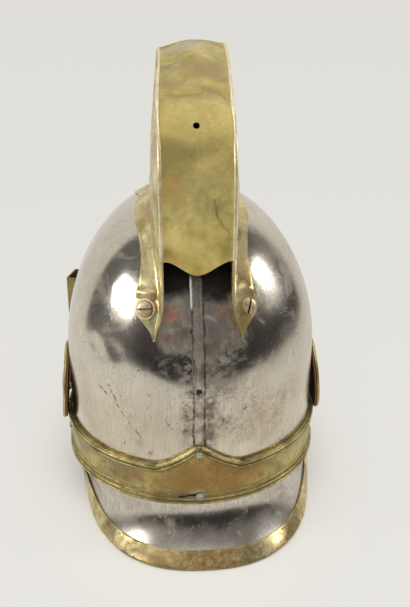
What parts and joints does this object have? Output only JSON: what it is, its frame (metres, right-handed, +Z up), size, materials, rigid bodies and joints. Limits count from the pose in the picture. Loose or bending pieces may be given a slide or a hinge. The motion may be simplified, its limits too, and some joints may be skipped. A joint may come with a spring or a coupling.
{
  "type": "cuirassier helmet",
  "caption": "Polished steel cavalry helmet with a hollow brass crest, beaded headband, visor, flared neck guard, side bosses and leather liner.",
  "frame": {"origin": "centre of the bounding box, on the surface that the rims of the visor and the neck guard stand on", "axes": "+Z up through the crest, +Y towards the visor, +X towards the wearer's right"},
  "size_m": [0.1906, 0.288, 0.3249],
  "materials": {
    "skull_steel": "polished, worn and finely pitted",
    "guard_steel": "polished, worn and finely pitted",
    "headband_brass": "aged, brown and olive patina",
    "edging_brass": "aged, worn bright on its edge",
    "crest_brass": "aged, rubbed, with brown stains",
    "sheath_brass": "aged, olive patina",
    "boss_brass": "aged, rubbed",
    "fastener_brass": "aged, with verdigris",
    "dark_steel": "dull, darkened",
    "boss_leather": "old, dark brown",
    "liner_leather": "old, brown, matt"
  },
  "bodies": {
    "helmet": {"skull_bowl": "skull_steel", "headband_rear": "headband_brass", "headband_front": "headband_brass", "neck_guard": "guard_steel", "neck_guard_rim": "edging_brass", "visor": "guard_steel", "visor_rim": "edging_brass", "crest_flank_left": "crest_brass", "crest_flank_right": "crest_brass", "crest_gutter": "crest_brass", "crest_front_plate": "crest_brass", "tuft_socket": "crest_brass", "crest_screw_left": "fastener_brass", "crest_screw_right": "fastener_brass", "crest_screws_front": "fastener_brass", "crest_nuts": "dark_steel", "ring_washer_left": "fastener_brass", "plume_socket": "sheath_brass", "plume_socket_rivets": "fastener_brass", "chin_scale_hook": "dark_steel", "boss_bush_left": "fastener_brass", "boss_bush_right": "fastener_brass", "headband_rivets": "fastener_brass", "neck_guard_rivets": "dark_steel", "visor_rivets": "dark_steel", "sweatband": "liner_leather", "crown_tongues": "liner_leather"},
    "left_boss": {"boss_left": "boss_brass", "boss_leather_left": "boss_leather", "boss_pin_left": "dark_steel"},
    "right_boss": {"boss_right": "boss_brass", "boss_leather_right": "boss_leather", "boss_pin_right": "dark_steel"}
  },
  "joints": [
    {"name": "left_boss_turn", "type": "hinge", "parent": "helmet", "child": "left_boss", "pos_m": [-0.08755, -0.021, 0.083], "axis": [-0.9976, 0, 0.0698], "continuous": true},
    {"name": "right_boss_turn", "type": "hinge", "parent": "helmet", "child": "right_boss", "pos_m": [0.08755, -0.021, 0.083], "axis": [0.9976, 0, 0.0698], "continuous": true}
  ]
}
